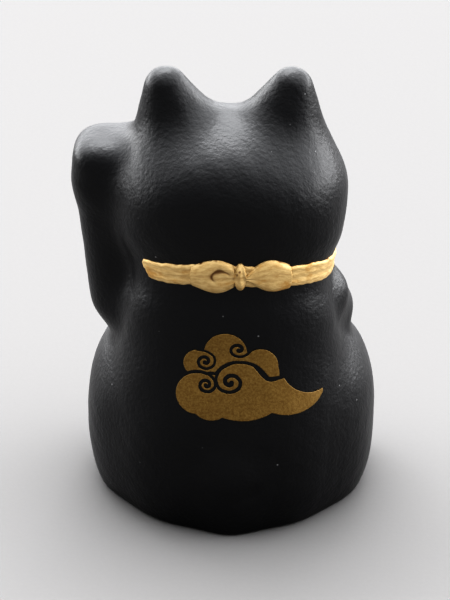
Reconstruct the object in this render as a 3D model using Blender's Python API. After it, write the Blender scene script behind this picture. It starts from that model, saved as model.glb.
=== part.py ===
"""Beckoning cat figurine: a hollow cast cat with a tied collar, a bell, a coin and a gold cloud print.

Every size in this script is in millimetres, and the meshes are in metres. +Z is up, the cat looks along -Y,
and its raised paw is on the +X side. The origin is in the middle of the figurine's box, on the ground.

The cat is one smooth solid, a blend of rounded masses that gives a signed distance at any point. Rays that
leave the figurine's upright axis find its skin, and everything that is fixed on the cat is laid on that skin.
"""
import bmesh
import bpy
import numpy as np
from mathutils import Matrix

METRES = 0.001                   # metres in a millimetre

# The three overall sizes. The masses below are drawn on a cat of DRAWN size and stretched to these.
BODY_WIDTH = 42.3                # from the right haunch to the raised left arm
BODY_DEPTH = 35.7                # from the toes to the tail
BODY_HEIGHT = 64.9               # from the ground to the ear tips
DRAWN = np.array((42.3, 35.7, 64.9))

# The hollow
WALL = 2.6                       # wall and floor of the casting
DRAIN_HOLE = 9.0                 # diameter of the hole under the cat
FOOT_EDGE = 0.6                  # how far the edge at the ground is rounded in

# The collar is a flat ribbon that rises towards the nape
COLLAR_WIDTH = 3.2
COLLAR_RELIEF = 0.5              # how far it stands off the skin
COLLAR_HEIGHT = 36.6             # of its middle at the cat's sides
COLLAR_RISE = 3.5                # how much higher it is at the nape, and lower at the throat
COLLAR_START = 45.0              # degrees round from +X: just behind the raised arm
COLLAR_END = 319.0               # just in front of the raised arm

# The bow is tied over the collar, a little off the middle of the nape
BOW_ANGLE = 99.0                 # degrees round from +X
BOW_RELIEF = 0.5                 # thickness of a loop over the collar
LOOP_LENGTH = 6.0
LOOP_HEIGHT = 5.2
KNOT_LENGTH = 1.7
KNOT_HEIGHT = 4.2
KNOT_RELIEF = 0.8

# The bell hangs from the collar at the throat, and the coin leans on the belly under the lowered paw
BELL_DIAMETER = 5.0
BELL_RELIEF = 2.2
BELL_ANGLE = 270.0
COIN_LENGTH = 12.0
COIN_WIDTH = 7.6
COIN_RELIEF = 1.1
COIN_RIM = 0.35                  # how far the coin's rim stands over its field
COIN_ANGLE = 265.0               # degrees round from +X
COIN_HEIGHT = 11.4               # of its middle over the ground

# The cloud is printed on the back in two parts with a thin bare line between them
PRINT_WIDTH = 20.9               # along the skin
PRINT_DRAWN = 20.9               # width that the outlines below are drawn at
PRINT_HEIGHT = 25.0              # of the drawing's middle over the ground
PRINT_ANGLE = 102.2              # degrees round from +X
PRINT_FILM = 0.25                # thickness of the raised print
PRINT_LINE = 0.5                 # width of the bare line between its parts

# Clearances between separate pieces
SKIN_GAP = 0.2                   # between the skin and a piece that is laid on it
PIECE_GAP = 0.3                  # between two pieces that lie side by side

# Fineness of the surfaces
COLUMNS = 60                     # round the cat
OUTER_ROWS = 44
INNER_ROWS = 14
RAY_REACH = 40.0                 # a ray starts looking for the skin this far out
RAY_STEP = 0.5
HALVINGS = 16


# ---------------------------------------------------------------- distances

def lump(points, centre, radii, power=2.0, tip=0.0):
    """Distance to a rounded box: k = (sum |q/r|^power)^(1/power), and (k - 1) over the slope of k.

    The tip leans its level sections up towards +Y. It works for two coordinates as well as three.
    """
    radii = np.array(radii, float)
    offset = points - np.array(centre, float)
    if tip:
        offset[..., 2] -= tip * offset[..., 1]
    q = offset / radii
    k = np.maximum((np.abs(q) ** power).sum(-1), 1e-9) ** (1 / power)
    slope = (np.abs(q) / k[..., None]) ** (power - 1) / radii
    return (k - 1) / np.maximum(np.linalg.norm(slope, axis=-1), 1e-6)


def limb(points, start, end, start_radius, end_radius):
    """Distance to a tapered round limb: the skin of all the balls between its two end balls."""
    start = np.array(start, float)
    run = np.array(end, float) - start
    length = np.linalg.norm(run)
    along = (points - start) @ (run / length)
    aside = np.sqrt(np.maximum(((points - start) ** 2).sum(-1) - along ** 2, 0))
    taper = (start_radius - end_radius) / length
    t = np.clip((along - aside * taper / np.sqrt(1 - taper ** 2)) / length, 0, 1)
    nearest = start + t[..., None] * run
    return np.linalg.norm(points - nearest, axis=-1) - (start_radius + (end_radius - start_radius) * t)


def blend(first, second, width):
    """Union of two distances with a fillet: the smaller one, less a bump where they are close."""
    share = np.clip(0.5 + 0.5 * (second - first) / width, 0, 1)
    return second + (first - second) * share - width * share * (1 - share)


def sized(*drawn):
    """A place or a set of radii of the drawn cat, stretched to this cat's overall sizes."""
    return np.array(drawn) * (BODY_WIDTH, BODY_DEPTH, BODY_HEIGHT) / DRAWN


# ---------------------------------------------------------------- the cat

def trunk(points):
    """Distance to the cat without limbs, ears and tail: seat, chest and head."""
    seat = lump(points, sized(0, -0.9, 9.5), sized(17.7, 16.4, 17.0), 2.3)
    chest = lump(points, sized(-0.1, 0.5, 25.2), sized(15.1, 13.2, 17.2), 2.5, tip=0.2)
    head = lump(points, sized(0, -0.4, 44.9), sized(15.9, 13.8, 13.0), 2.3)
    return blend(blend(seat, chest, 8.0), head, 3.6)


def raised_arm(points):
    """Distance to the left arm, held up beside the head with its paw bent forward."""
    arm = limb(points, sized(15.0, -1.5, 29.0), sized(16.0, -1.6, 43.0), 5.0, 4.6)
    paw = lump(points, sized(16.2, -2.6, 48.4), sized(5.6, 6.0, 5.9), 2.6)
    return blend(arm, paw, 2.5)


def lowered_arm(points):
    """Distance to the right arm, bent at the elbow with its paw on the coin."""
    upper = limb(points, sized(-12.0, -1.0, 30.4), sized(-12.4, -4.5, 26.8), 4.6, 4.6)
    lower = limb(points, sized(-11.8, -5.0, 26.3), sized(-5.2, -12.8, 22.2), 4.4, 3.7)
    return blend(upper, lower, 2.0)


def cat(points):
    """Distance to the whole cat: negative inside its skin."""
    distance = trunk(points)
    for side in (1, -1):
        haunch = lump(points, sized(side * 12.3, -5.0, 9.4), sized(8.0, 11.4, 13.8), 2.4)
        distance = blend(distance, haunch, 4.5)
        foot = limb(points, sized(side * 9.6, -12.5, 3.2), sized(side * 9.8, -15.4, 3.0), 4.2, 3.8)
        distance = blend(distance, foot, 1.8)
        ear = limb(points, sized(side * 5.2, -0.5, 48.4), sized(side * 8.6, 0.1, 61.9), 9.6, 3.0)
        distance = blend(distance, ear, 2.6)
        cheek = lump(points, sized(side * 2.3, -12.7, 40.7), sized(3.2, 2.5, 2.7))
        distance = blend(distance, cheek, 2.2)
    distance = blend(distance, raised_arm(points), 2.4)
    distance = blend(distance, lowered_arm(points), 1.6)
    tail = limb(points, sized(-1.0, 13.2, 8.0), sized(1.2, 13.5, 1.5), 3.0, 2.0)
    return blend(distance, tail, 2.5)


def crossing(solid, starts, directions):
    """How far along each ray the solid's outermost skin is: steps inward, then halves the last step."""
    near = np.full(starts.shape[:-1], RAY_STEP)
    far = np.full(starts.shape[:-1], RAY_REACH)
    found = np.zeros(starts.shape[:-1], bool)
    for reach in np.arange(RAY_REACH - RAY_STEP, RAY_STEP, -RAY_STEP):
        inside = solid(starts + directions * reach) < 0
        first = inside & ~found
        near[first] = reach
        far[first] = reach + RAY_STEP
        found |= inside
    for _ in range(HALVINGS):
        middle = (near + far) / 2
        inside = solid(starts + directions * middle[..., None]) < 0
        near = np.where(inside, middle, near)
        far = np.where(inside, far, middle)
    return (near + far) / 2


def fan(solid, heights, tilts):
    """Rows of skin points: each row's rays leave the axis at its height, tilted up by its tilt in degrees."""
    turn = np.linspace(0, 2 * np.pi, COLUMNS, endpoint=False)
    rise, turn = np.meshgrid(np.radians(tilts), turn, indexing="ij")
    directions = np.stack((np.cos(rise) * np.cos(turn), np.cos(rise) * np.sin(turn), np.sin(rise)), -1)
    starts = np.zeros(directions.shape)
    starts[..., 2] = np.array(heights)[:, None]
    return starts + directions * crossing(solid, starts, directions)[..., None]


def skin(angles, heights, lift):
    """Points that stand off the cat's skin by lift, at angles in degrees round the axis and at heights."""
    angles, heights, lift = np.broadcast_arrays(np.radians(np.atleast_1d(angles)), heights, lift)
    directions = np.stack((np.cos(angles), np.sin(angles), 0 * angles), -1)
    starts = np.stack((0 * angles, 0 * angles, heights), -1)
    points = starts + directions * crossing(cat, starts, directions)[..., None]
    nudge = np.eye(3) * 0.05
    normal = np.stack([cat(points + step) - cat(points - step) for step in nudge], -1)
    normal /= np.linalg.norm(normal, axis=-1, keepdims=True)
    return points + normal * lift[..., None]


# ---------------------------------------------------------------- meshes and materials

def material(name, colour, roughness, metallic=0.0):
    """A Principled material of one colour."""
    made = bpy.data.materials.new(name)
    made.use_nodes = True
    shader = made.node_tree.nodes["Principled BSDF"]
    shader.inputs["Base Color"].default_value = (*colour, 1)
    shader.inputs["Roughness"].default_value = roughness
    shader.inputs["Metallic"].default_value = metallic
    made.diffuse_color = (*colour, 1)
    return made


def ringed(name, rings, finish):
    """One closed object from rows of rings (rows, columns, 3) in millimetres; its end rows shrink to points."""
    rows, columns = rings.shape[:2]
    vertices = np.vstack((rings[0].mean(0), rings[1:-1].reshape(-1, 3), rings[-1].mean(0))) * METRES
    last = len(vertices) - 1
    faces = []
    for column in range(columns):
        beside = (column + 1) % columns
        faces.append((0, 1 + beside, 1 + column))
        for row in range(rows - 3):
            below = 1 + row * columns
            above = below + columns
            faces.append((below + column, below + beside, above + beside, above + column))
        top = 1 + (rows - 3) * columns
        faces.append((top + column, top + beside, last))
    mesh = bpy.data.meshes.new(name)
    mesh.from_pydata(vertices.tolist(), [], faces)
    shape = bmesh.new()
    shape.from_mesh(mesh)
    bmesh.ops.recalc_face_normals(shape, faces=shape.faces)
    shape.to_mesh(mesh)
    shape.free()
    mesh.shade_smooth()
    mesh.materials.append(finish)
    made = bpy.data.objects.new(name, mesh)
    bpy.context.scene.collection.objects.link(made)
    return made


# ---------------------------------------------------------------- the hollow body

def body_shell(black):
    """The casting: its skin from the ground to the crown, and the hollow that the drain hole opens."""
    share = np.linspace(0, 1, OUTER_ROWS)
    knots = (0, 0.16, 0.30, 0.62, 1)
    climb = np.interp(share, knots, (0, 0.01, 0.14, 0.58, 0.72))
    outer = fan(cat, FOOT_EDGE + climb * BODY_HEIGHT, np.interp(share, knots, (0, 21, 14, 0, 90)))

    ground = fan(cat, [0.0], [0.0])
    reach = np.linalg.norm(ground, axis=-1, keepdims=True)
    hole = ground / reach * DRAIN_HOLE / 2
    ground -= ground / reach * FOOT_EDGE

    def hollow(points):
        return trunk(points) + WALL

    share = np.linspace(0, 1, INNER_ROWS)
    knots = (0, 0.6, 1)
    climb = np.interp(share, knots, (0, 0.56, 0.62))
    inner = fan(hollow, WALL + climb * BODY_HEIGHT, np.interp(share, knots, (0, 0, 90)))

    rings = np.concatenate((inner[::-1], hole + (0, 0, WALL), hole, ground, outer))
    return ringed("body_shell", rings, black)


# ---------------------------------------------------------------- collar, bow, bell and coin

def collar_middle(angles):
    """Height of the collar's middle line over the ground, at angles in degrees."""
    return (COLLAR_HEIGHT + COLLAR_RISE * np.sin(np.radians(angles))) * BODY_HEIGHT / DRAWN[2]


def turned(angle, height):
    """Degrees that one millimetre along the skin takes, at one angle and height."""
    return np.degrees(1 / np.linalg.norm(skin(angle, height, 0.0)[0, :2]))


def collar_band(gold):
    """A ribbon with a low rounded section, carried round the neck from behind the raised arm to its front."""
    angles = np.linspace(COLLAR_START, COLLAR_END, 56)[:, None]
    around = np.radians(np.arange(0, 360, 36))
    across = -np.cos(around) * COLLAR_WIDTH / 2
    swell = np.sqrt(np.clip(np.sin(around), 0, 1))
    lift = SKIN_GAP + (COLLAR_RELIEF - SKIN_GAP) * swell
    rings = skin(angles, collar_middle(angles) + across, lift)
    return ringed("collar_band", rings, gold)


def button(name, angle, height, outline, profile, finish):
    """A piece laid on the skin: its profile, pairs of reach (0 to 1) and lift, is carried round its outline."""
    reach, lift = np.array(profile).T[..., None]
    sideways, up = outline
    rings = skin(angle + reach * sideways * turned(angle, height), height + reach * up, lift)
    return ringed(name, rings, finish)


def rounded(length, tall, power):
    """Sideways and up coordinates of a superellipse outline: |x|^power + |y|^power = 1, stretched."""
    around = np.linspace(0, 2 * np.pi, 24, endpoint=False)
    reach = (np.abs(np.cos(around)) ** power + np.abs(np.sin(around)) ** power) ** (-1 / power)
    return reach * np.cos(around) * length / 2, reach * np.sin(around) * tall / 2


def dome(base, thickness):
    """Profile of a low dome from the middle of its underside to the middle of its top, with a thin edge."""
    reach = np.array((0.0, 0.4, 0.75, 0.93, 1.0))
    under = [(r, base) for r in reach]
    return under + [(r, base + thickness * (0.2 + 0.8 * np.sqrt(1 - r * r))) for r in reach[::-1]]


def bow(gold):
    """Two loops and a knot, laid over the collar."""
    nape = collar_middle(BOW_ANGLE)
    degrees = turned(BOW_ANGLE, nape)
    base = COLLAR_RELIEF + SKIN_GAP
    aside = (KNOT_LENGTH + LOOP_LENGTH) / 2 + PIECE_GAP
    for name, side in (("bow_loop_left", -1), ("bow_loop_right", 1)):
        angle = BOW_ANGLE + side * aside * degrees
        outline = rounded(LOOP_LENGTH, LOOP_HEIGHT, 2.2)
        button(name, angle, collar_middle(angle), outline, dome(base, BOW_RELIEF), gold)
    outline = rounded(KNOT_LENGTH, KNOT_HEIGHT, 2.6)
    button("bow_knot", BOW_ANGLE, nape, outline, dome(base, KNOT_RELIEF), gold)


def bell(gold):
    """A round bell under the collar at the throat."""
    height = collar_middle(BELL_ANGLE) - (COLLAR_WIDTH + BELL_DIAMETER) / 2 - PIECE_GAP
    outline = rounded(BELL_DIAMETER, BELL_DIAMETER, 2.0)
    return button("bell", BELL_ANGLE, height, outline, dome(SKIN_GAP, BELL_RELIEF), gold)


def koban_coin(gold):
    """An oval coin with a raised rim round a plain field."""
    top = SKIN_GAP + COIN_RELIEF
    profile = [(reach, SKIN_GAP) for reach in (0, 0.3, 0.6, 0.85, 1)]
    profile += [(1, top - COIN_RIM / 2), (0.97, top), (0.88, top)]
    profile += [(reach, top - COIN_RIM) for reach in (0.82, 0.5, 0.25, 0)]
    height = COIN_HEIGHT * BODY_HEIGHT / DRAWN[2]
    return button("koban_coin", COIN_ANGLE, height, rounded(COIN_WIDTH, COIN_LENGTH, 2.2), profile, gold)


# ---------------------------------------------------------------- the printed cloud

def lower_cloud(points):
    """Distance to the lower part, drawn flat: a curl, two low puffs, an arch and a tail swept to the right."""
    curl = lump(points, (-7.4, -2.3), (3.05, 2.95))
    puff = lump(points, (-5.3, -2.8), (3.2, 3.3))
    belly = lump(points, (-0.8, -2.0), (5.6, 4.1))
    arch = lump(points, (-1.1, -0.6), (4.0, 2.9))
    sweep = lump(points, (6.2, 0.0), (5.6, 5.6))
    bay = lump(points, (9.8, 0.3), (3.7, 3.7))
    tail = np.maximum(np.maximum(sweep, points[..., 1] + 0.3), -bay)
    return np.minimum.reduce((curl, puff, belly, arch, tail))


def upper_cloud(points):
    """Distance to the upper part, drawn flat: a curl, a high double puff and a side puff."""
    curl = lump(points, (-7.5, 2.1), (2.15, 2.05))
    crown_left = lump(points, (-4.3, 3.7), (2.4, 2.4))
    crown_right = lump(points, (-2.2, 3.8), (2.6, 2.6))
    side = lump(points, (2.0, 1.8), (2.6, 2.5))
    flank = lump(points, (2.7, 0.7), (2.0, 2.2))
    middle = lump(points, (-1.9, 1.8), (5.5, 1.8))
    return np.minimum.reduce((curl, crown_left, crown_right, side, flank, middle))


def printed(name, left, right, drawing, floor, gold):
    """A thin film whose edges are the drawing's lowest and highest crossings, and no lower than the floor."""
    across = left + (right - left) * (1 - np.cos(np.linspace(0, np.pi, 26))) / 2
    upward = np.tile((0.0, 1.0), (len(across), 1))
    below = np.stack((across, 0 * across - PRINT_DRAWN / 2), -1)
    top = below[:, 1] + crossing(drawing, below, upward)
    bottom = PRINT_DRAWN / 2 - crossing(drawing, below + upward * PRINT_DRAWN, -upward)
    bottom = np.maximum(bottom, floor(across))
    share = np.array((0, 0.25, 0.5, 0.75, 1, 1, 0.75, 0.5, 0.25, 0))
    lift = SKIN_GAP + PRINT_FILM * np.repeat((0, 1), 5)
    stretch = PRINT_WIDTH / PRINT_DRAWN
    height = PRINT_HEIGHT * BODY_HEIGHT / DRAWN[2]
    sideways = across[:, None] * stretch * turned(PRINT_ANGLE, height)
    up = (bottom[:, None] + (top - bottom)[:, None] * share) * stretch
    return ringed(name, skin(PRINT_ANGLE + sideways, height + up, lift), gold)


def cloud(gold):
    """Both parts of the print; the upper one ends a bare line above the lower one."""
    def no_floor(across):
        return 0 * across - PRINT_DRAWN

    def over_lower(across):
        upward = np.tile((0.0, 1.0), (len(across), 1))
        below = np.stack((across, 0 * across - PRINT_DRAWN / 2), -1)
        return below[:, 1] + crossing(lower_cloud, below, upward) + PRINT_LINE
    printed("cloud_lower", -10.4, 10.5, lower_cloud, no_floor, gold)
    printed("cloud_upper", -9.6, 4.65, upper_cloud, over_lower, gold)


# ---------------------------------------------------------------- the figurine

def centre_on_ground():
    """Moves every piece so that the figurine's box is centred on the origin and stands on the ground."""
    pieces = [piece for piece in bpy.context.scene.objects if piece.type == "MESH"]
    corners = np.array([vertex.co for piece in pieces for vertex in piece.data.vertices])
    low = corners.min(0)
    high = corners.max(0)
    shift = Matrix.Translation((-(low[0] + high[0]) / 2, -(low[1] + high[1]) / 2, -low[2]))
    for piece in pieces:
        piece.data.transform(shift)


def build():
    for old in list(bpy.data.objects):
        bpy.data.objects.remove(old)
    black = material("black_paint", (0.012, 0.012, 0.014), 0.42)
    brushed_gold = material("brushed_gold_paint", (0.62, 0.43, 0.14), 0.5, 0.3)
    printed_gold = material("printed_gold", (0.32, 0.20, 0.04), 0.45, 0.3)
    body_shell(black)
    collar_band(brushed_gold)
    bow(brushed_gold)
    bell(brushed_gold)
    koban_coin(brushed_gold)
    cloud(printed_gold)
    centre_on_ground()


build()
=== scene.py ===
import bpy
import numpy as np
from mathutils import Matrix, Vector


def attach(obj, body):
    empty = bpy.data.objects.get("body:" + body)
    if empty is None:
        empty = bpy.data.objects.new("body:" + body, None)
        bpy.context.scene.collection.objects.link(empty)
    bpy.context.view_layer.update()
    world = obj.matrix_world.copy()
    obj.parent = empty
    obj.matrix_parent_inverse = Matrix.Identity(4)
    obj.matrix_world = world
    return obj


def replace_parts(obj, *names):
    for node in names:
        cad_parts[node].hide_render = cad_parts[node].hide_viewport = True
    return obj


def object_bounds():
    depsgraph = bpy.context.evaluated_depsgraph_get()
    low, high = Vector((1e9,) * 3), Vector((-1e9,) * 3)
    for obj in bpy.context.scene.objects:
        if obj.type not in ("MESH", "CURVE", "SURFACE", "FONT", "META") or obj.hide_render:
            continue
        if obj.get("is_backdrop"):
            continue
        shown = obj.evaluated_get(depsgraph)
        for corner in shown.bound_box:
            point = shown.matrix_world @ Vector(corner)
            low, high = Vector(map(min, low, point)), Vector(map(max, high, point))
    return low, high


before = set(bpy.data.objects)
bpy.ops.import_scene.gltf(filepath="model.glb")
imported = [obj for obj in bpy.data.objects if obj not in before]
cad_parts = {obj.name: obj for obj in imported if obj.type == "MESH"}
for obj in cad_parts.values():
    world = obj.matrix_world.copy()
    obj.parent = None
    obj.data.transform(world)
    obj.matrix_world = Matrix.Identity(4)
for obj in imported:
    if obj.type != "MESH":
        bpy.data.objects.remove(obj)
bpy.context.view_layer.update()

scene = bpy.context.scene

# ==== Camera ==========================================================================================
# The figurine is looked down on from behind, a little to its right, through a long lens. The picture is
# shown with a contrasty curve, as a camera's own picture style does, which makes the black paint deep.
MM = 0.001
scene.view_settings.view_transform = "Standard"
scene.view_settings.look = "Very High Contrast"


def sight(azimuth, elevation):
    """Unit vector from the figurine to the camera: azimuth 0 is in front of the cat, 180 behind it."""
    a = np.radians(azimuth)
    e = np.radians(elevation)
    return np.array((np.sin(a) * np.cos(e), -np.cos(a) * np.cos(e), np.sin(e)))


LENS = 180.0
DISTANCE = 420 * MM
SIGHT = sight(183, 28)
SIDEWAYS = np.cross(-SIGHT, (0, 0, 1)) / np.linalg.norm(np.cross(-SIGHT, (0, 0, 1)))
UPWARD = np.cross(SIDEWAYS, -SIGHT)
AIM = np.array((-0.64, 1.29, 28.0)) * MM - SIDEWAYS * 0.7 * MM + UPWARD * 1.4 * MM

camera_data = bpy.data.cameras.new("camera")
camera_data.lens = LENS
camera_data.clip_start = 0.02
camera_data.clip_end = 20
camera = bpy.data.objects.new("camera", camera_data)
camera.location = AIM + SIGHT * DISTANCE
camera.rotation_mode = "QUATERNION"
camera.rotation_quaternion = Vector(-SIGHT).to_track_quat("-Z", "Y")
scene.collection.objects.link(camera)
scene.camera = camera

# ==== Paper floor and soft lights =====================================================================
# The cat stands on pale matte paper. A wide soft light hangs overhead and gives the broad gloss on the
# crown, ears and paw. The room is bright in front of the cat, a little more at its right, and faint behind
# its back, which draws the soft light edges down both flanks.


class Wire:
    """A shader socket as a number: sums, differences, products and quotients add Math nodes."""

    def __init__(self, finish, socket):
        self.finish = finish
        self.socket = socket

    def _with(self, operation, first, second=None):
        inputs = {0: first} if second is None else {0: first, 1: second}
        return self.finish.add("ShaderNodeMath", {"operation": operation}, inputs)

    def __add__(self, other):
        return self._with("ADD", self, other)

    def __radd__(self, other):
        return self._with("ADD", other, self)

    def __sub__(self, other):
        return self._with("SUBTRACT", self, other)

    def __rsub__(self, other):
        return self._with("SUBTRACT", other, self)

    def __mul__(self, other):
        return self._with("MULTIPLY", self, other)

    def __rmul__(self, other):
        return self._with("MULTIPLY", other, self)

    def __truediv__(self, other):
        return self._with("DIVIDE", self, other)

    def between(self, low, high):
        """0 below low, 1 above high, and a smooth step between them."""
        ends = {"Value": self, "From Min": low, "From Max": high}
        return self.finish.add("ShaderNodeMapRange", {"interpolation_type": "SMOOTHSTEP"}, ends)


class Finish:
    """A material or world with its shader, and one way to add any other node to it."""

    def __init__(self, owner, shader="Principled BSDF"):
        self.material = owner
        owner.use_nodes = True
        self.nodes = owner.node_tree.nodes
        self.links = owner.node_tree.links
        self.shader = self.nodes[shader]

    def put(self, socket, value):
        """Feeds a socket with a wire, a colour or a number."""
        if isinstance(value, Wire):
            self.links.new(value.socket, socket)
        elif isinstance(value, tuple) and len(socket.default_value) == 4:
            socket.default_value = (*value, 1)[:4]
        else:
            socket.default_value = value

    def add(self, kind, settings, inputs, output=0):
        """A node of a kind: its settings are made first, then its sockets are fed; gives one output."""
        node = self.nodes.new(kind)
        for name, value in settings.items():
            setattr(node, name, value)
        for name, value in inputs.items():
            self.put(node.inputs[name], value)
        return Wire(self, node.outputs[output])

    def set(self, **sockets):
        """Feeds the shader's own sockets; an underscore stands for a space."""
        for name, value in sockets.items():
            self.put(self.shader.inputs[name.replace("_", " ")], value)

    def place(self, *stretch):
        """Object coordinates in millimetres, stretched by the three factors."""
        where = self.add("ShaderNodeTexCoord", {}, {}, "Object")
        factors = tuple(1000.0 * s for s in (stretch or (1, 1, 1)))
        return self.add("ShaderNodeVectorMath", {"operation": "MULTIPLY"}, {0: where, 1: factors})

    def noise(self, where, scale, detail=2.0, roughness=0.5):
        """Cloudy noise from 0 to 1 whose lumps are about 1 / scale of a millimetre apart."""
        inputs = {"Vector": where, "Scale": scale, "Detail": detail, "Roughness": roughness}
        return self.add("ShaderNodeTexNoise", {}, inputs)

    def mix(self, share, first, second):
        """A colour between two colours."""
        settings = {"data_type": "RGBA"}
        return self.add("ShaderNodeMix", settings, {0: share, 6: first, 7: second}, 2)

    def bump(self, height, depth):
        """Bumps of a depth in millimetres."""
        return self.add("ShaderNodeBump", {}, {"Height": height, "Distance": depth * MM, "Strength": 1.0})


paper = Finish(bpy.data.materials.new("paper"))
fibre = paper.noise(paper.place(), 1.6, 4.0)
paper.set(Base_Color=paper.mix(fibre, (0.176, 0.173, 0.170), (0.184, 0.181, 0.178)))
paper.set(Roughness=0.9, Specular_IOR_Level=0.0, Normal=paper.bump(fibre, 0.01))
FLOOR_REACH = 3.0
across = np.linspace(-FLOOR_REACH, FLOOR_REACH, 13)
floor_x, floor_y = np.meshgrid(across, across)
cell = (np.arange(12)[:, None] * 13 + np.arange(12)).ravel()[:, None]
floor_mesh = bpy.data.meshes.new("floor")
floor_points = np.stack((floor_x, floor_y, 0 * floor_x), -1).reshape(-1, 3)
floor_mesh.from_pydata(floor_points.tolist(), [], (cell + (0, 1, 14, 13)).tolist())
floor_mesh.materials.append(paper.material)
floor = bpy.data.objects.new("floor", floor_mesh)
scene.collection.objects.link(floor)
floor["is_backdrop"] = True

scene.world = bpy.data.worlds.new("studio")
room = Finish(scene.world, "Background")
direction = room.add("ShaderNodeTexCoord", {}, {}, "Generated")
bright_side = {0: direction, 1: (-0.18, -0.97, 0.2)}
towards = room.add("ShaderNodeVectorMath", {"operation": "DOT_PRODUCT"}, bright_side, "Value")
straight_up = {0: direction, 1: (0, 0, 1)}
ceiling = room.add("ShaderNodeVectorMath", {"operation": "DOT_PRODUCT"}, straight_up, "Value")
glow = 2.7 * towards.between(-0.6, 0.5) + 0.35 * ceiling.between(0.3, 0.8)
room.set(Color=(0.97, 0.98, 1.0), Strength=0.5 + glow)


def panel(name, place, wide, tall, power, colour=(1, 1, 1)):
    """A rectangular soft light that faces the middle of the cat; place, wide and tall are in metres."""
    data = bpy.data.lights.new(name, "AREA")
    data.shape = "RECTANGLE"
    data.size = wide
    data.size_y = tall
    data.energy = power
    data.color = colour
    light = bpy.data.objects.new(name, data)
    light.location = place
    towards = Vector((0, 0, 0.03)) - Vector(place)
    light.rotation_mode = "QUATERNION"
    light.rotation_quaternion = towards.to_track_quat("-Z", "Y")
    scene.collection.objects.link(light)


panel("overhead_light", (0.22, -0.80, 1.33), 1.30, 0.60, 14.5, (0.97, 0.98, 1.0))
panel("left_panel", (0.75, -0.35, 0.10), 0.9, 0.4, 2.6)
panel("right_panel", (-0.75, -0.30, 0.10), 0.9, 0.4, 2.6)

# ==== The cast cat ====================================================================================
# One hollow piece of fired clay, cast in a mould and painted satin black. Its form is a blend of rounded
# masses; toes, ear hollows, a small dent and slow unevenness are pressed into the skin afterwards.


def lump(points, centre, radii, power=2.0, tip=0.0):
    """Distance to a rounded box: k = (sum |q/r|^power)^(1/power), and (k - 1) over the slope of k."""
    radii = np.array(radii, float)
    offset = points - np.array(centre, float)
    if tip:
        offset[..., 2] -= tip * offset[..., 1]
    q = offset / radii
    k = np.maximum((np.abs(q) ** power).sum(-1), 1e-9) ** (1 / power)
    slope = (np.abs(q) / k[..., None]) ** (power - 1) / radii
    return (k - 1) / np.maximum(np.linalg.norm(slope, axis=-1), 1e-6)


def limb(points, start, end, start_radius, end_radius):
    """Distance to a tapered round limb: the skin of all the balls between its two end balls."""
    start = np.array(start, float)
    run = np.array(end, float) - start
    length = np.linalg.norm(run)
    along = (points - start) @ (run / length)
    aside = np.sqrt(np.maximum(((points - start) ** 2).sum(-1) - along ** 2, 0))
    taper = (start_radius - end_radius) / length
    t = np.clip((along - aside * taper / np.sqrt(1 - taper ** 2)) / length, 0, 1)
    nearest = start + t[..., None] * run
    return np.linalg.norm(points - nearest, axis=-1) - (start_radius + (end_radius - start_radius) * t)


def blend(first, second, width):
    """Union of two distances with a fillet: the smaller one, less a bump where they are close."""
    share = np.clip(0.5 + 0.5 * (second - first) / width, 0, 1)
    return second + (first - second) * share - width * share * (1 - share)


def trunk(points):
    """Distance in millimetres to the seat, chest and head."""
    seat = lump(points, (0, -0.9, 9.5), (17.7, 16.4, 17.0), 2.3)
    chest = lump(points, (-0.1, 0.5, 25.2), (15.1, 13.2, 17.2), 2.5, tip=0.2)
    head = lump(points, (0, -0.4, 44.7), (15.9, 13.8, 12.7), 2.3, tip=0.1)
    return blend(blend(seat, chest, 8.0), head, 3.6)


def cat(points):
    """Distance in millimetres to the whole cat: negative inside its skin."""
    distance = trunk(points)
    for side in (1, -1):
        haunch = lump(points, (side * 12.3, -5.0, 9.4), (8.0, 11.4, 13.8), 2.4)
        distance = blend(distance, haunch, 4.5)
        foot = limb(points, (side * 9.6, -12.5, 3.2), (side * 9.8, -15.4, 3.0), 4.2, 3.8)
        distance = blend(distance, foot, 1.8)
        cheek = lump(points, (side * 2.3, -12.7, 40.7), (3.2, 2.5, 2.7))
        distance = blend(distance, cheek, 2.2)
    left_ear = limb(points, (5.7, -1.4, 48.4), (8.6, 0.1, 61.8), 9.0, 3.0)
    right_ear = limb(points, (-5.4, -1.4, 48.4), (-8.3, -0.3, 61.9), 9.2, 3.0)
    distance = blend(distance, blend(left_ear, right_ear, 3.5), 3.5)
    raised = limb(points, (14.4, -1.5, 30.0), (16.2, -1.6, 44.5), 5.3, 5.0)
    paw = lump(points, (16.0, -2.5, 49.6), (5.8, 5.8, 4.3), 3.0)
    distance = blend(distance, blend(raised, paw, 3.5), 3.0)
    upper = limb(points, (-12.0, -1.0, 30.4), (-12.4, -4.5, 26.8), 4.6, 4.6)
    lower = limb(points, (-11.8, -5.0, 26.3), (-5.2, -12.8, 22.2), 4.4, 3.7)
    distance = blend(distance, blend(upper, lower, 2.0), 1.6)
    tail = limb(points, (-1.0, 11.8, 9.0), (-0.6, 11.2, 1.0), 3.6, 2.8)
    return blend(distance, tail, 4.0)


def crossing(solid, starts, directions, reach=34.0, step=1.0):
    """How far along each ray the outermost skin is: steps inward, then halves the last step."""
    near = np.full(starts.shape[:-1], step)
    far = np.full(starts.shape[:-1], reach)
    found = np.zeros(starts.shape[:-1], bool)
    for distance in np.arange(reach - step, step, -step):
        inside = solid(starts + directions * distance) < 0
        first = inside & ~found
        near[first] = distance
        far[first] = distance + step
        found |= inside
    for _ in range(12):
        middle = (near + far) / 2
        inside = solid(starts + directions * middle[..., None]) < 0
        near = np.where(inside, middle, near)
        far = np.where(inside, far, middle)
    return (near + far) / 2


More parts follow.
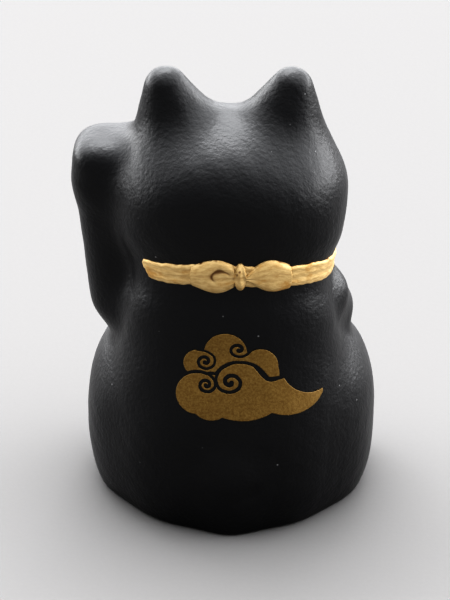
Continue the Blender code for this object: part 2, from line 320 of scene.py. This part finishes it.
def outward(solid, points):
    """Unit normals of a distance: its differences over a small step along each axis."""
    steps = np.eye(3) * 0.05
    normal = np.stack([solid(points + step) - solid(points - step) for step in steps], -1)
    return normal / np.linalg.norm(normal, axis=-1, keepdims=True)


def waviness(points):
    """Hand-smoothed unevenness in millimetres: a few slow sine waves in slanted directions."""
    x, y, z = np.moveaxis(points, -1, 0)
    slow = np.sin(0.42 * x + 0.23 * z + 1.0) * np.sin(0.37 * y - 0.31 * z + 2.0)
    quick = np.sin(1.1 * x - 0.7 * z) * np.sin(0.9 * z + 0.8 * y + 1.0) * np.sin(0.8 * y + 0.6 * x)
    return 0.06 * slow + 0.035 * quick


def pressed(points):
    """Relief in millimetres that is pressed into the smooth skin: toes, ear hollows, a dent, unevenness."""
    x, y, z = np.moveaxis(points, -1, 0)
    relief = waviness(points)
    side = np.abs(x)
    for middle in (8.4, 11.2):
        toe = np.exp(-((side - middle) / 0.32) ** 2)
        relief -= 0.5 * toe / (1 + np.exp((y + 16.2) / 0.5)) / (1 + np.exp((z - 6.0) / 0.5))
    for middle in (14.8, 17.6):
        claw = np.exp(-((x - middle) / 0.32) ** 2)
        relief -= 0.45 * claw / (1 + np.exp((y + 6.0) / 0.4)) * np.exp(-((z - 45.6) / 2.6) ** 4)
    nick = ((x + 3.6) / 1.5 + (z - 7.2) / 2.4) ** 2 + ((z - 7.2) / 1.6) ** 2
    relief -= 0.35 * np.exp(-nick) / (1 + np.exp((6.0 - y) / 0.4))
    hollow = ((side - 7.9) / 2.5) ** 2 + ((z - 57.2) / 4.4) ** 2
    relief -= 1.3 * np.exp(-hollow ** 1.5) / (1 + np.exp((y + 0.6) / 0.4))
    return np.where(z > 0.7, relief, relief * np.clip(z / 0.7, 0, 1))


def fan(solid, heights, tilts, columns):
    """Rows of skin points: each row's rays leave the axis at its height, tilted up by its tilt in degrees."""
    turn = np.linspace(0, 2 * np.pi, columns, endpoint=False)
    rise, turn = np.meshgrid(np.radians(tilts), turn, indexing="ij")
    directions = np.stack((np.cos(rise) * np.cos(turn), np.cos(rise) * np.sin(turn), np.sin(rise)), -1)
    starts = np.zeros(directions.shape)
    starts[..., 2] = np.array(heights)[:, None]
    return starts + directions * crossing(solid, starts, directions)[..., None]


PLACE = np.array((-0.64, 1.29, 0.0))


def ringed(name, rings, finish):
    """One closed object from rings (rows, columns, 3) in millimetres; its end rows shrink to points."""
    rows, columns = rings.shape[:2]
    points = np.vstack((rings[0].mean(0), rings[1:-1].reshape(-1, 3), rings[-1].mean(0)))
    column = np.arange(columns)
    beside = (column + 1) % columns
    row = 1 + np.arange(rows - 3)[:, None] * columns
    above = row + columns
    quads = np.stack((row + column, row + beside, above + beside, above + column), -1)
    top = 1 + (rows - 3) * columns
    first = np.stack((0 * column, 1 + beside, 1 + column), -1)
    last = np.stack((top + column, top + beside, 0 * column + len(points) - 1), -1)
    faces = quads.reshape(-1, 4).tolist() + first.tolist() + last.tolist()
    return shaped(name, points, faces, finish)


def shaped(name, points, faces, finish):
    """A smooth mesh object from points in millimetres on the drawn cat, moved to the frame's place."""
    mesh = bpy.data.meshes.new(name)
    mesh.from_pydata(((points + PLACE) * MM).tolist(), [], faces)
    mesh.shade_smooth()
    mesh.materials.append(finish.material)
    made = bpy.data.objects.new(name, mesh)
    scene.collection.objects.link(made)
    return made


COLUMNS = 280
WALL = 2.6
DRAIN_RADIUS = 4.5
FOOT_EDGE = 0.6
share = np.linspace(0, 1, 312)
knots = (0, 0.16, 0.30, 0.62, 1)
heights = FOOT_EDGE + np.interp(share, knots, (0, 0.65, 9.1, 37.6, 46.7))
outer = fan(cat, heights, np.interp(share, knots, (0, 21, 14, 0, 90)), COLUMNS)
outer += outward(cat, outer) * pressed(outer)[..., None]

edge = fan(cat, [0.3], [0.0], COLUMNS)
ground = fan(cat, [0.0], [0.0], COLUMNS)
reach = np.linalg.norm(ground, axis=-1, keepdims=True)
rim = ground / reach * DRAIN_RADIUS
rim_edge = ground / reach * (DRAIN_RADIUS + 0.25)
edge -= edge * (1, 1, 0) / reach * FOOT_EDGE * 0.13
near_ground = ground - ground / reach * FOOT_EDGE * 0.5 + (0, 0, 0.08)
ground -= ground / reach * FOOT_EDGE
across_floor = [rim_edge + (ground - rim_edge) * s for s in (0.25, 0.5, 0.75)]
share = np.linspace(0, 1, 26)
climb = WALL + np.interp(share, (0, 0.6, 1), (0, 36.3, 40.2))
hollow = fan(lambda points: trunk(points) + WALL, climb, np.interp(share, (0, 0.6, 1), (0, 0, 90)), COLUMNS)
inside = [hollow[::-1], rim + (0, 0, WALL), rim + (0, 0, 0.25), rim_edge]
rings = np.concatenate(inside + across_floor + [ground, near_ground, edge, outer])

black = Finish(bpy.data.materials.new("satin_black_paint"))
where = black.place()
pebbles = black.noise(where, 1.7, 1.5, 0.5)
grain = black.noise(where, 5.0, 2.0, 0.6)
patches = black.noise(where, 0.16, 3.0, 0.6)
specks = black.add("ShaderNodeTexVoronoi", {"feature": "F1"}, {"Vector": where, "Scale": 0.26})
dust = 1 - specks.between(0.02, 0.045)
tone = black.mix(patches, (0.0022, 0.0022, 0.0028), (0.0034, 0.0034, 0.0043))
black.set(Base_Color=black.mix(dust * 0.35, tone, (0.45, 0.45, 0.45)))
black.set(Roughness=0.34 + 0.08 * patches + 0.04 * grain, Specular_IOR_Level=0.42)
black.set(Normal=black.bump(pebbles * 0.8 + grain * 0.2, 0.09))

cast_cat = ringed("cast_cat", rings, black)
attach(cast_cat, "root")
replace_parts(cast_cat, "body_shell")

# ==== Collar ==========================================================================================
# A flat ribbon in low relief that was moulded with the cat and painted by hand in matte gold. It rises
# towards the nape and stops at both sides of the raised arm; its edges are a little uneven.
COLLAR_HALF = 1.6
COLLAR_LIFT = 0.42
COLLAR_START = 40.0
COLLAR_END = 321.0
NECK = 13.5


def collar_middle(angles):
    """Height of the collar's middle line over the ground, at angles in degrees round from +X."""
    return 36.6 + 3.5 * np.sin(np.radians(angles))


def laid(starts, directions, lift):
    """Points that stand off the finished skin by lift, where rays from the starts last leave the cat."""
    points = starts + directions * crossing(cat, starts, directions)[..., None]
    return points + outward(cat, points) * (lift + waviness(points))[..., None]


def skin(angles, heights, lift):
    """Points over the skin at angles in degrees round the axis and at heights."""
    angles, heights, lift = np.broadcast_arrays(np.radians(np.atleast_1d(angles)), heights, lift)
    directions = np.stack((np.cos(angles), np.sin(angles), 0 * angles), -1)
    return laid(np.stack((0 * angles, 0 * angles, heights), -1), directions, lift)


def wobble(along, seed, size):
    """Uneven hand of the maker: five sine waves along a line, drawn from a seeded set of phases."""
    phases = np.random.default_rng(seed).uniform(0, 2 * np.pi, 5)
    waves = [np.sin(along * pitch + phase) for pitch, phase in zip((0.7, 1.3, 2.1, 3.4, 5.2), phases)]
    return size * sum(waves) / 2.5


def ribbon(name, angles, middle, half, relief, bare, columns=56, slant=0.0):
    """A low relief carried round the neck: each section is a flat loop from edge to edge and back inside.

    The section's top runs across from -1 to 1 and stands off by relief(along, across); its underside is
    sunk in the skin. The map called flow runs along the ribbon in centimetres and across it from 0 to 1.
    The sixth argument fills a point attribute: gold rubbed off or missed, and dark brown painted as shade.
    slant turns the first end, in degrees, so that its upper corner reaches further.
    """
    turn = np.linspace(0, 2 * np.pi, columns, endpoint=False)
    across = -np.cos(turn)
    along = np.radians(angles)[:, None] * NECK
    lift = np.where(np.sin(turn) >= 0, relief(along, across), -0.25)
    turned = angles[:, None] + slant * across * np.exp((angles[0] - angles[:, None]) / 3)
    made = ringed(name, skin(turned, middle[:, None] + across * half[:, None], lift), gold)
    rows = [np.stack(np.broadcast_arrays(along / 10, 0.5 + across / 2, bare(along, across)), -1)]
    rows = np.vstack((rows[0][0].mean(0), rows[0][1:-1].reshape(-1, 3), rows[0][-1].mean(0)))
    corners = np.zeros(len(made.data.loops), int)
    made.data.loops.foreach_get("vertex_index", corners)
    made.data.uv_layers.new(name="flow").data.foreach_set("uv", rows[corners, :2].ravel())
    made.data.attributes.new("bare", "FLOAT", "POINT").data.foreach_set("value", rows[:, 2].copy())
    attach(made, "root")
    return made


gold = Finish(bpy.data.materials.new("brushed_gold_paint"))
flow = gold.add("ShaderNodeUVMap", {"uv_map": "flow"}, {})
missed_and_shade = gold.add("ShaderNodeAttribute", {"attribute_name": "bare"}, {}, "Fac")
strokes = gold.add("ShaderNodeVectorMath", {"operation": "MULTIPLY"}, {0: flow, 1: (8.0, 11.0, 1.0)})
streaks = gold.noise(strokes, 1.0, 4.0, 0.65)
where = gold.place()
blotches = gold.noise(where, 0.5, 3.0, 0.6)
grain = gold.noise(where, 5.0, 2.0, 0.6)
brushed = gold.mix(streaks.between(0.3, 0.7), (0.44, 0.30, 0.130), (0.60, 0.455, 0.235))
warm = gold.mix(blotches.between(0.50, 0.72) * 0.8, brushed, (0.41, 0.235, 0.067))
# Dark brown where the gold was missed, and painted shade in the bow's mouth and creases and along the
# relief's edges.
thin_and_shade = (missed_and_shade + 0.25 * (streaks - 0.5)).between(0.1, 0.9)
gold.set(Base_Color=gold.mix(thin_and_shade, warm, (0.13, 0.062, 0.016)))
gold.set(Roughness=0.42 + 0.2 * streaks, Metallic=0.3)
gold.set(Normal=gold.bump(streaks * 0.7 + grain * 0.3, 0.05))

angles = np.linspace(COLLAR_START, COLLAR_END, 620)
ends = np.minimum(angles - angles[0], angles[-1] - angles)
taper = np.exp((angles[0] - angles) / 7)
middle = collar_middle(angles) + wobble(np.radians(angles) * NECK * 0.35, 1, 0.07) + 0.45 * taper
half = COLLAR_HALF + wobble(np.radians(angles) * NECK, 2, 0.06) - 0.4 * taper
half *= np.sqrt(np.clip(ends / 1.2, 0, 1))


def collar_relief(along, across):
    """Flat-topped relief with rounded edges and shallow lengthwise strokes."""
    edge = np.clip(1 - np.abs(across) ** 6, 0, 1)
    stroke = 0.03 * np.sin(across * 9 + 0.8 * np.sin(along * 0.5)) + wobble(along + 3 * across, 3, 0.02)
    return COLLAR_LIFT * np.sqrt(edge) + stroke * edge - 0.05


def collar_bare_and_shade(along, across):
    """The brush missed a few short places at the edges, and their dark brown is also painted shade along the
    relief's edge.
    """
    missed_and_shaded_edge = 0.25 + wobble(along * 1.3 + 2 * np.sign(across), 5, 0.45)
    return np.clip(missed_and_shaded_edge / (1 + np.exp((0.95 - np.abs(across)) / 0.02)), 0, 1)


collar = ribbon("collar", angles, middle, half, collar_relief, collar_bare_and_shade, slant=-2.6)
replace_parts(collar, "collar_band")

# ==== Bow =============================================================================================
# Two leaf-shaped loops and a small knot, in the same relief and paint. The left loop shows its dark mouth as
# a curled fold in painted shade; soft folds run out of the knot. Dark brown is painted shade in the knot's
# creases, and along the edges it is both missed paint where the brush didn't reach and painted shade.
BOW_ANGLE = 99.0
DEGREES = np.degrees(1 / 13.2)
KNOT_HALF = 0.92
KNOT_TALL = 2.1


def curl(out, across):
    """Strength from 0 to 1 of the curled fold that rings the mouth of a loop, strongest at its upper edge."""
    ring = np.hypot((out - 1.7) / 1.4, (across - 0.10) / 0.36)
    open_side = 1 / (1 + np.exp(-(across - 0.02 + 0.22 * (out - 1.9)) / 0.10))
    return np.exp(-((ring - 1) / (0.30 + 0.14 * np.cos(3.1 * out))) ** 2) * open_side


def loop_relief(side, mouth):
    """Relief of one loop: a soft dome, folds that fan out of the knot, and the mouth's curled fold."""
    def relief(along, across):
        out = side * (along - np.radians(BOW_ANGLE) * NECK) - KNOT_HALF
        dome = np.clip(1 - np.abs(across) ** 3.0, 0, 1) ** 0.5
        fold = np.sin(9 * across / (0.7 + 0.22 * np.abs(out))) * np.exp(-np.abs(out) / 1.6)
        inside = np.exp(-((out - 1.8) / 1.1) ** 2 - ((across - 0.12) / 0.3) ** 2)
        return 0.85 * dome + 0.06 * fold * dome - mouth * (0.15 * curl(out, across) + 0.10 * inside) - 0.05
    return relief


def loop_bare_and_shade(side, mouth):
    """Dark brown of one loop: painted shade in the curled fold and the creases at the knot, and missed paint
    with painted shade along parts of the edge.
    """
    def bare(along, across):
        out = side * (along - np.radians(BOW_ANGLE) * NECK) - KNOT_HALF
        crease = 0.5 * np.exp(-np.abs(out) / 0.35) * (0.5 + 0.5 * np.sin(8 * across + 1))
        missed_and_shaded_edge = 0.25 + wobble(along * 1.7 + np.sign(across), 7, 0.45)
        rim = missed_and_shaded_edge / (1 + np.exp((0.95 - np.abs(across)) / 0.02))
        return np.clip(mouth * 0.9 * curl(out, across) + crease + rim, 0, 1)
    return bare


def swelling(share, near, full, far, peak):
    """Half height of a loop along its length: from near the knot to full at peak, and on to its far end."""
    rise = near + (full - near) * np.sin(np.clip(share / peak, 0, 1) * np.pi / 2)
    fall = far + (full - far) * np.cos(np.clip((share - peak) / (1 - peak), 0, 1) * np.pi / 2) ** 1.2
    return np.where(share < peak, rise, fall)


for side, name, mouth, profile, drop, length in (
    (-1, "bow_loop_left", 1.0, (1.6, 2.6, 1.55, 0.42), 0.12, 6.15),
    (1, "bow_loop_right", 0.0, (0.35, 2.45, 1.8, 0.58), -0.22, 6.1),
):
    share = np.linspace(0, 1, 110)
    angles = BOW_ANGLE + side * (KNOT_HALF - 0.25 + share * length) * DEGREES
    rounded_ends = np.sqrt(np.clip(np.minimum(share, 1 - share) / 0.03, 0, 1))
    half = swelling(share, *profile) * rounded_ends
    middle = collar_middle(angles) - drop * np.sin(np.pi * share) - 0.05
    relief, bare = loop_relief(side, mouth), loop_bare_and_shade(side, mouth)
    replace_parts(ribbon(name + "_relief", angles, middle, half, relief, bare, 72), name)


def knot_relief(along, across):
    """Relief of the knot: a steep dome, pinched at its waist, with slanted folds."""
    out = along - np.radians(BOW_ANGLE) * NECK
    dome = np.clip(1 - np.abs(across) ** 2.5, 0, 1) ** 0.5
    sides = np.clip(1 - np.abs(out / (KNOT_HALF + 0.12)) ** 3, 0, 1) ** 0.5
    fold = 0.12 * np.cos(6.5 * out + 2.2 * across)
    waist = 0.16 * np.exp(-(across / 0.25) ** 2)
    return (1.0 + fold - waist) * dome * sides


def knot_bare_and_shade(along, across):
    """Dark brown of the knot: two small darker places near its top, and painted shade in the creases beside
    it.
    """
    out = along - np.radians(BOW_ANGLE) * NECK
    dots = np.exp(-(((out + 0.1) / 0.2) ** 2 + ((across - 0.62) / 0.1) ** 2) ** 2)
    dots += np.exp(-(((out + 0.45) / 0.12) ** 2 + ((across - 0.42) / 0.14) ** 2) ** 2)
    return np.clip(0.8 * dots + 0.4 / (1 + np.exp((0.85 - np.abs(out)) / 0.03)), 0, 1)


share = np.linspace(-1, 1, 70)
angles = BOW_ANGLE + share * KNOT_HALF * DEGREES
half = KNOT_TALL * np.clip(1 - np.abs(share) ** 2.2, 0, 1) ** 0.6
knot = ribbon("bow_knot_relief", angles, collar_middle(angles) - 0.1, half, knot_relief, knot_bare_and_shade)
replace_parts(knot, "bow_knot")

# ==== Bell ============================================================================================
# A small round bell in relief under the collar at the throat, with a band round its middle, a round
# sound hole and a slot below it. It is moulded with the cat and painted gold.
BELL_ANGLE = 270.0
BELL_HEIGHT = 29.0
BELL_WIDE = 4.9
badge_gold = Finish(bpy.data.materials.new("gold_paint_on_badges"))
where = badge_gold.place(1, 1, 0.4)
streaks = badge_gold.noise(where, 1.6, 4.0, 0.65)
blotches = badge_gold.noise(badge_gold.place(), 0.45, 3.0, 0.6)
brushed = badge_gold.mix(streaks.between(0.3, 0.7), (0.44, 0.30, 0.130), (0.60, 0.455, 0.235))
badge_gold.set(Base_Color=badge_gold.mix(blotches.between(0.52, 0.75) * 0.7, brushed, (0.42, 0.24, 0.07)))
badge_gold.set(Roughness=0.42 + 0.2 * streaks, Metallic=0.3, Normal=badge_gold.bump(streaks, 0.04))


def badge(name, angle, height, wide, tall, power, relief, columns=180, rows=90):
    """A low relief on the skin: rings of the superellipse |x|^power + |y|^power = 1, from the middle of its
    sunk underside out to its edge and back to the middle of its top, which stands off by relief."""
    turn = np.linspace(0, 2 * np.pi, columns, endpoint=False)
    reach = (np.abs(np.cos(turn)) ** power + np.abs(np.sin(turn)) ** power) ** (-1 / power)
    share = np.concatenate(((0.0, 0.5, 0.985), np.linspace(1, 0, rows) ** 0.75))[:, None]
    x = share * reach * np.cos(turn) * wide / 2
    up = share * reach * np.sin(turn) * tall / 2
    top = np.arange(len(share))[:, None] > 2
    lift = np.where(top, relief(x, up, share), -0.3)
    girth = np.linalg.norm(skin(angle, height, 0.0)[0, :2])
    made = ringed(name, skin(angle + np.degrees(x / girth), height + up, lift), badge_gold)
    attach(made, "root")
    return made


def bell_relief(x, up, share):
    """Relief of the bell: a dome, a raised band above its middle, and a hole that runs into a slot."""
    dome = 2.15 * np.sqrt(np.clip(1 - share ** 2, 0, 1))
    band = 0.13 / (1 + ((up - 0.35) / 0.32) ** 8)
    hole = np.exp(-(np.hypot(x, up + 0.75) / 0.42) ** 6)
    slot = np.exp(-(x / 0.17) ** 4) * (up < -0.75)
    return dome + band * (share < 0.97) - 0.7 * np.maximum(hole, slot) * np.clip(dome, 0, 1) - 0.15


bell = badge("bell_relief", BELL_ANGLE, BELL_HEIGHT, BELL_WIDE, BELL_WIDE, 2.0, bell_relief)
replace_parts(bell, "bell")

# ==== Koban coin ======================================================================================
# The long oval coin that a beckoning cat holds: a raised rim round a field with rows of short hammer
# marks. It carries no writing. It is moulded with the belly and painted gold.
COIN_ANGLE = 265.0
COIN_HEIGHT = 11.4
COIN_WIDE = 7.5
COIN_TALL = 11.9
MARK_PITCH = 0.85
MARK_LENGTH = 2.1


def coin_relief(x, up, share):
    """Relief of the coin: a rounded rim, and a lower field dented by rows of short level hammer marks."""
    rim = 0.30 / (1 + ((share - 0.91) / 0.055) ** 6)
    level = np.clip(np.cos(2 * np.pi * up / MARK_PITCH), 0, 1) ** 3
    mark = level * np.clip(np.cos(2 * np.pi * x / MARK_LENGTH), -0.3, 1) ** 2
    edge = np.sqrt(np.clip((1 - share) / 0.03, 0, 1))
    return (0.75 + rim) * edge - 0.10 * mark * (share < 0.78) - 0.05


coin = badge("koban_relief", COIN_ANGLE, COIN_HEIGHT, COIN_WIDE, COIN_TALL, 2.2, coin_relief)
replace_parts(coin, "koban_coin")

# ==== Printed cloud ===================================================================================
# A cloud of dull gold ink, printed on the back in two parts. Curled lines are left bare in it, so that
# the black paint shows through them; the ink has a fine grain.
PRINT_ANGLE = 102.2
PRINT_HEIGHT = 25.0
PRINT_STEP = 0.09
PRINT_LIFT = 0.035
INK_FILM = 0.08
BACK = 15.8


def lower_cloud(points):
    """Distance to the lower part, drawn flat: a curl, two low puffs, an arch and a tail to the right."""
    curl_end = lump(points, (-7.4, -2.3), (3.05, 2.95))
    puff = lump(points, (-5.3, -2.8), (3.2, 3.3))
    belly = lump(points, (-0.8, -2.75), (5.6, 3.35))
    arch = lump(points, (-1.1, -0.6), (3.75, 2.8))
    sweep = lump(points, (6.4, -2.2), (5.2, 3.55))
    bay = lump(points, (10.2, 2.0), (5.35, 5.35))
    tail = np.maximum.reduce((sweep, points[..., 1] + 0.3, -bay, points[..., 0] - 11.1))
    return np.minimum.reduce((curl_end, puff, belly, arch, tail))


def upper_cloud(points):
    """Distance to the upper part, drawn flat: a curl, a high arched crown and a side puff."""
    curl_end = lump(points, (-7.5, 2.1), (2.15, 1.95))
    crown = lump(points, (-3.26, 3.6), (3.35, 3.0), 2.1)
    side = lump(points, (2.0, 1.8), (2.6, 2.5))
    flank = lump(points, (2.7, 0.7), (2.0, 2.2))
    middle = lump(points, (-1.9, 1.8), (5.5, 1.8))
    whole = np.minimum.reduce((curl_end, crown, side, flank, middle))
    return np.maximum(whole, 0.45 - lower_cloud(points))


def stroke(knots):
    """Balls along a smooth line through knots (x, y, half width): a Catmull-Rom curve, which leaves each
    knot in the direction from the one before it to the one after it."""
    knots = np.array(knots, float)
    knots = np.vstack((2 * knots[0] - knots[1], knots, 2 * knots[-1] - knots[-2]))
    t = np.linspace(0, 1, 12, endpoint=False)[:, None]
    before, start, end, after = (knots[k:len(knots) - 3 + k, None] for k in range(4))
    bend = 2 * before - 5 * start + 4 * end - after
    turn = 3 * start - before - 3 * end + after
    return ((2 * start + (end - before) * t + bend * t ** 2 + turn * t ** 3) / 2).reshape(-1, knots.shape[1])


def along_strokes(points, balls):
    """Distance to the union of balls (x, y, radius), in the plane."""
    best = np.full(points.shape[:-1], 9.0)
    for x, y, radius in balls:
        best = np.minimum(best, np.hypot(points[..., 0] - x, points[..., 1] - y) - radius)
    return best


def spin(centre, start, turns, outer, inner, wide):
    """Knots of a spiral line: it leaves the bearing start, in degrees, and turns clockwise by a number of
    turns (anticlockwise if negative) while its radii shrink evenly and its half width grows."""
    t = np.linspace(0, 1, 12)
    bearing = np.radians(start - 360 * turns * t)
    radius = np.array(outer) + (np.array(inner) - np.array(outer)) * t[:, None]
    x = centre[0] + radius[:, 0] * np.cos(bearing)
    y = centre[1] + radius[:, 1] * np.sin(bearing)
    return np.stack((x, y, wide[0] + (wide[1] - wide[0]) * t), -1).tolist()


bare_lines = np.vstack((
    stroke([(-7.6, 4.1, 0.2)] + spin((-6.4, 2.4), 80, 1.55, (1.75, 1.45), (0.15, 0.15), (0.17, 0.30))),
    stroke([(1.0, 4.6, 0.2)] + spin((-1.25, 4.3), -30, 1.2, (1.7, 1.2), (0.15, 0.15), (0.18, 0.32))),
    stroke([(-9.8, 0.1, 0.2), (-8.6, 0.6, 0.18), (-7.2, 0.8, 0.18), (-5.9, 0.6, 0.2)]
           + spin((-6.1, -0.95), 35, 1.5, (1.45, 1.25), (0.12, 0.12), (0.22, 0.27))),
    stroke([(6.0, 0.0, 0.2), (4.7, -0.15, 0.22), (3.6, -0.3, 0.26), (2.9, 0.0, 0.34), (2.3, 0.7, 0.40),
            (1.6, 1.5, 0.34), (0.8, 2.1, 0.24), (-0.6, 2.42, 0.2), (-2.0, 2.3, 0.2), (-3.3, 1.75, 0.2),
            (-4.2, 1.1, 0.22)] + spin((-2.5, -0.45), 172, -1.45, (2.2, 1.75), (0.2, 0.2), (0.22, 0.36))),
))


def printed(name, drawing, low, high, lay, step, finish):
    """A film of ink where the drawing is negative: a fine grid whose points near the outline move on to it.

    The grid runs over the flat drawing from low to high, and lay puts its points on the skin.
    """
    across = np.arange(low[0], high[0], step)
    up = np.arange(low[1], high[1], step)
    points = np.stack(np.meshgrid(across, up, indexing="ij"), -1)
    value = drawing(points)
    for _ in range(3):
        near = np.abs(value) < 0.62 * step
        edge = points[near]
        slope = np.stack([drawing(edge + d) - drawing(edge - d) for d in np.eye(2) * 0.02], -1) / 0.04
        points[near] -= slope * (value[near] / np.maximum((slope ** 2).sum(-1), 0.2))[..., None]
        value[near] = drawing(points[near])
    inked = value < 0.12 * step
    columns = len(up)
    corner = np.arange(len(across) - 1)[:, None] * columns + np.arange(columns - 1)
    corner = corner[inked[:-1, :-1] & inked[1:, :-1] & inked[1:, 1:] & inked[:-1, 1:]]
    quads = np.stack((corner, corner + columns, corner + columns + 1, corner + 1), -1)
    used, faces = np.unique(quads, return_inverse=True)
    made = shaped(name, lay(points.reshape(-1, 2)[used]), faces.reshape(-1, 4).tolist(), finish)
    film = made.modifiers.new("film", "SOLIDIFY")
    film.thickness = INK_FILM * MM
    film.offset = -1
    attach(made, "root")
    return made


def round_the_back(flat):
    """Lays a flat drawing on the cat's back, where it follows the skin round."""
    angles = PRINT_ANGLE + flat[:, 0] * np.degrees(1 / BACK)
    return skin(angles, PRINT_HEIGHT + flat[:, 1], PRINT_LIFT)


def cut(drawing):
    """A cloud drawing with the uninked lines cut out of it."""
    return lambda points: np.maximum(drawing(points), -along_strokes(points, bare_lines))


ink = Finish(bpy.data.materials.new("printed_gold"))
where = ink.place()
grain = ink.noise(where, 3.2, 3.0, 0.7)
dots = ink.noise(where, 8.0, 2.0, 0.6)
ink.set(Base_Color=ink.mix(grain.between(0.3, 0.75), (0.135, 0.075, 0.012), (0.215, 0.140, 0.040)))
ink.set(Roughness=0.5 + 0.15 * dots, Metallic=0.2, Normal=ink.bump(grain * 0.6 + dots * 0.4, 0.04))

for name, drawing, low, high in (
    ("cloud_lower", lower_cloud, (-11, -7), (11.6, 3)),
    ("cloud_upper", upper_cloud, (-10, -1), (5.5, 7)),
):
    part = printed(name + "_ink", cut(drawing), low, high, round_the_back, PRINT_STEP, ink)
    part.data.flip_normals()
    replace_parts(part, name)

# ==== Painted face and claws ==========================================================================
# Eyes, nose, mouth, whiskers, the insides of the ears and the claws: thin hand-painted marks in the
# same gold as the collar, laid on from the front. The eyes keep black pupils.


def on_the_front(flat):
    """Lays a drawing on the cat's front, straight back from the front."""
    starts = np.stack((flat[:, 0], 0 * flat[:, 0] - 1.0, flat[:, 1]), -1)
    directions = np.broadcast_to((0.0, -1.0, 0.0), starts.shape)
    points = starts + directions * crossing(cat, starts, directions, 24.0)[..., None]
    return points + outward(cat, points) * (0.05 + pressed(points))[..., None]


def mirrored(drawing):
    """A drawing with its mirror image."""
    return lambda points: drawing(np.abs(points) * (1, 0) + points * (0, 1))


def eye(points):
    """Almond of gold round a tall black pupil."""
    lower = lump(points, (5.1, 47.6), (3.1, 3.1))
    upper = lump(points, (5.1, 45.4), (3.0, 2.9))
    pupil = lump(points, (5.0, 46.5), (0.85, 1.45))
    return np.maximum.reduce((lower, upper, -pupil))


def nose(points):
    """Small heart of a nose and the two arcs of the mouth below it."""
    tip = lump(points, (0.55, 43.3), (0.85, 0.65))
    arcs = stroke([(0.0, 42.9, 0.16), (0.05, 41.9, 0.16), (0.7, 41.0, 0.17), (1.6, 40.8, 0.17),
                   (2.4, 41.2, 0.15), (2.8, 41.9, 0.1)])
    return np.minimum(tip, along_strokes(points, arcs))


whisker_lines = np.vstack([
    stroke([(6.0, 42.6 + 1.1 * n, 0.2), (8.2, 42.6 + 1.5 * n, 0.17), (10.8, 42.2 + 2.3 * n, 0.08)])
    for n in (-1, 0, 1)
])
claw_lines = np.vstack(
    [stroke([(x, 44.2, 0.2), (x, 46.9, 0.13)]) for x in (14.2, 16.2, 18.2)]
    + [stroke([(side * x, 1.6, 0.2), (side * x, 4.4, 0.13)]) for side in (1, -1) for x in (7.9, 9.8, 11.7)]
)
for name, drawing, low, high in (
    ("painted_eyes", mirrored(eye), (-8.3, 44.3), (8.3, 48.6)),
    ("painted_nose", mirrored(nose), (-3.3, 40.3), (3.3, 44.2)),
    ("painted_whiskers", mirrored(lambda p: along_strokes(p, whisker_lines)), (-11.2, 39.4), (11.2, 45.0)),
    ("painted_ears", mirrored(lambda p: lump(p, (8.0, 56.6), (1.6, 3.0), 1.8)), (-10.3, 53.2), (10.3, 60.8)),
    ("painted_claws", lambda p: along_strokes(p, claw_lines), (-12.2, 1.2), (18.6, 47.2)),
):
    marks = printed(name, drawing, low, high, on_the_front, 0.11, badge_gold)

# ==== Bounds of the shown pieces ======================================================================
low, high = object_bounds()
